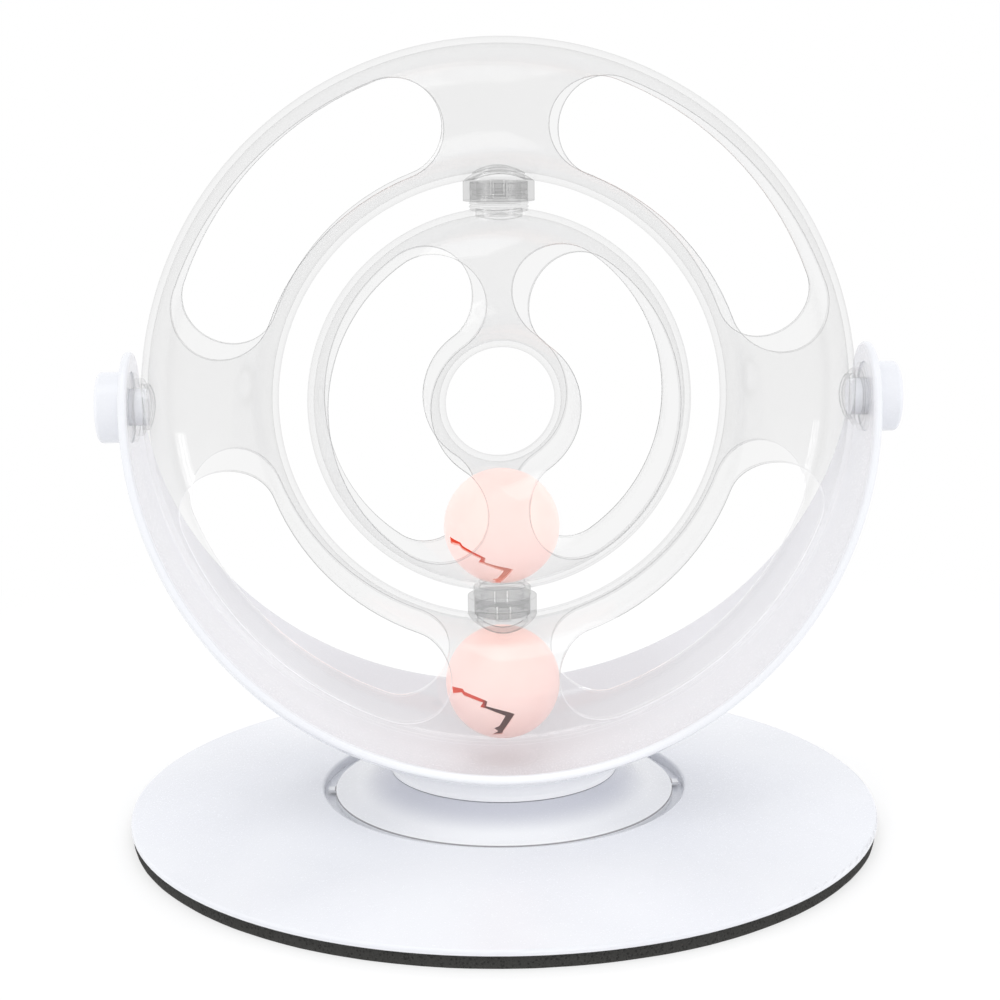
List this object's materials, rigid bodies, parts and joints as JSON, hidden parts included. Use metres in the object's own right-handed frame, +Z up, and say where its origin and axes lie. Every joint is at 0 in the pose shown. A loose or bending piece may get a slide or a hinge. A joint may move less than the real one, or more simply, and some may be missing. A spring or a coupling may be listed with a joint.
{
  "type": "rolling ball toy for cats",
  "caption": "Turntable toy: a dished round foot, a bowl-shaped bracket and two clear hollow rings on crossed pivots, with a loose ball rolling in each ring.",
  "frame": {"origin": "centre of the foot's underside, on the turntable axis", "axes": "+Z up along the turntable axis, +X through the right-hand pivot of the outer ring, the front seen in the picture faces -Y"},
  "size_m": [0.2764, 0.265, 0.2735],
  "materials": {
    "foam": "matt closed-cell foam",
    "white": "gloss",
    "clear": "clear, polished",
    "pink": "satin",
    "natural": "satin",
    "dark": "matt",
    "steel": "bright",
    "contact": "nickel plated",
    "motor": "matt",
    "cell": "satin sleeve",
    "board": "lacquered"
  },
  "bodies": {
    "base": {"foam_pad": "foam", "base_plate": "white", "hub_cover": "white", "base_cup": "white", "cup_screws": "steel", "gear_motor": "motor", "motor_screws": "steel", "battery_cells": "cell", "battery_contacts": "contact", "circuit_board": "board", "switch_body": "dark", "battery_door": "white", "door_screw": "steel", "thrust_washer": "natural"},
    "switch": {"switch_slider": "dark"},
    "bracket": {"bracket": "white", "spindle": "natural", "spindle_screws": "steel", "drive_shaft": "steel", "knob_left": "white", "knob_right": "white"},
    "outer_ring": {"outer_ring_front": "clear", "outer_ring_rear": "clear", "side_boss_left": "clear", "side_boss_right": "clear", "pivot_washer_left": "clear", "pivot_washer_right": "clear", "collar_top": "clear", "collar_bottom": "clear"},
    "inner_ring": {"inner_ring_front": "clear", "inner_ring_rear": "clear", "neck_top": "clear", "neck_bottom": "clear"},
    "outer_ball": {"outer_ball": "pink"},
    "inner_ball": {"inner_ball": "pink"}
  },
  "joints": [
    {"name": "switch_slide", "type": "slide", "parent": "base", "child": "switch", "axis": [1, 0, 0], "range_m": [0, 0.0034]},
    {"name": "turntable", "type": "hinge", "parent": "base", "child": "bracket", "pos_m": [0, 0, 0.0187], "axis": [0, 0, 1], "continuous": true},
    {"name": "outer_flip", "type": "hinge", "parent": "bracket", "child": "outer_ring", "pos_m": [0, 0, 0.15], "axis": [1, 0, 0], "continuous": true},
    {"name": "inner_spin", "type": "hinge", "parent": "outer_ring", "child": "inner_ring", "pos_m": [0, 0, 0.15], "axis": [0, 0, 1], "continuous": true},
    {"name": "outer_ball_roll", "type": "hinge", "parent": "outer_ring", "child": "outer_ball", "pos_m": [0, 0, 0.15], "axis": [0, 1, 0], "continuous": true},
    {"name": "inner_ball_roll", "type": "hinge", "parent": "inner_ring", "child": "inner_ball", "pos_m": [0, 0, 0.15], "axis": [-0.0785, 0.9969, 0], "continuous": true}
  ]
}
